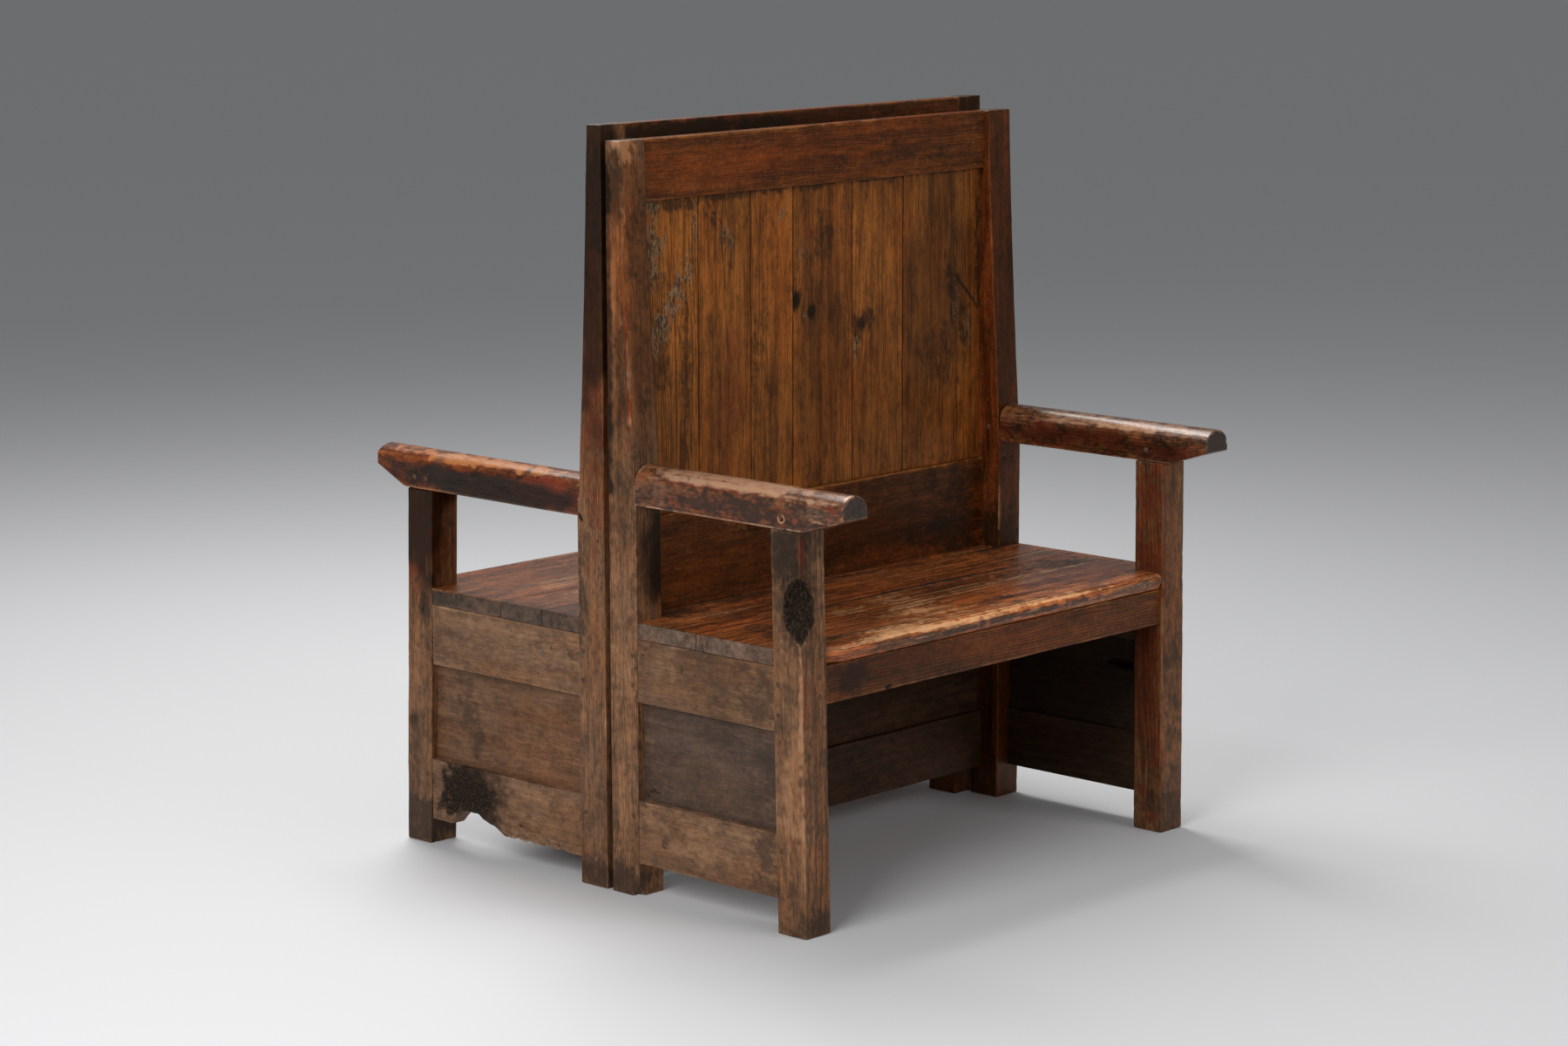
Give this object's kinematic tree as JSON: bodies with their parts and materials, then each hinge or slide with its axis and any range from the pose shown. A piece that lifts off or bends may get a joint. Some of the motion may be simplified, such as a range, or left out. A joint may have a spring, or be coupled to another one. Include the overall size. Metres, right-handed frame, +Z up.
{
  "type": "settle bench pair",
  "caption": "Pair of old oak settles standing back to back: boarded backs, board seats, open arms on square legs, and pegged frame-and-panel ends.",
  "frame": {"origin": "on the floor, under the middle of the box round both settles", "axes": "+X along the seats from the left end to the right end, -Y the way settle A faces, +Y the way settle B faces, +Z up"},
  "size_m": [0.94, 1.0644, 1.223],
  "materials": {
    "frame_oak": "old waxed red-brown oak, worn pale on the arrises",
    "rail_oak": "old waxed oak, dusty in the low places",
    "board_oak": "golden brown waxed oak with grey knots",
    "seat_oak": "polished by wear, pale ridges, satin",
    "panel_oak": "dull dark oak",
    "peg_oak": "end grain of riven pegs"
  },
  "bodies": {
    "root": {"settle_a_arm_left": "frame_oak", "settle_a_arm_right": "frame_oak", "settle_a_back_board_1": "board_oak", "settle_a_back_board_2": "board_oak", "settle_a_back_board_3": "board_oak", "settle_a_back_board_4": "board_oak", "settle_a_back_board_5": "board_oak", "settle_a_back_board_6": "board_oak", "settle_a_back_bottom_rail": "rail_oak", "settle_a_back_lower_board": "board_oak", "settle_a_back_mid_rail": "rail_oak", "settle_a_back_top_rail": "rail_oak", "settle_a_front_leg_left": "frame_oak", "settle_a_front_leg_right": "frame_oak", "settle_a_pegs": "peg_oak", "settle_a_rear_post_left": "frame_oak", "settle_a_rear_post_right": "frame_oak", "settle_a_seat_apron": "rail_oak", "settle_a_seat_bearer": "rail_oak", "settle_a_seat_front_board": "seat_oak", "settle_a_seat_middle_board": "seat_oak", "settle_a_seat_rear_board": "seat_oak", "settle_a_side_lower_rail_left": "rail_oak", "settle_a_side_lower_rail_right": "rail_oak", "settle_a_side_panel_left": "panel_oak", "settle_a_side_panel_right": "panel_oak", "settle_a_side_upper_rail_left": "rail_oak", "settle_a_side_upper_rail_right": "rail_oak", "settle_b_arm_left": "frame_oak", "settle_b_arm_right": "frame_oak", "settle_b_back_board_1": "board_oak", "settle_b_back_board_2": "board_oak", "settle_b_back_board_3": "board_oak", "settle_b_back_board_4": "board_oak", "settle_b_back_board_5": "board_oak", "settle_b_back_board_6": "board_oak", "settle_b_back_bottom_rail": "rail_oak", "settle_b_back_lower_board": "board_oak", "settle_b_back_mid_rail": "rail_oak", "settle_b_back_top_rail": "rail_oak", "settle_b_front_leg_left": "frame_oak", "settle_b_front_leg_right": "frame_oak", "settle_b_pegs": "peg_oak", "settle_b_rear_post_left": "frame_oak", "settle_b_rear_post_right": "frame_oak", "settle_b_seat_apron": "rail_oak", "settle_b_seat_bearer": "rail_oak", "settle_b_seat_front_board": "seat_oak", "settle_b_seat_middle_board": "seat_oak", "settle_b_seat_rear_board": "seat_oak", "settle_b_side_lower_rail_left": "rail_oak", "settle_b_side_lower_rail_right": "rail_oak", "settle_b_side_panel_left": "panel_oak", "settle_b_side_panel_right": "panel_oak", "settle_b_side_upper_rail_left": "rail_oak", "settle_b_side_upper_rail_right": "rail_oak"}
  },
  "joints": []
}
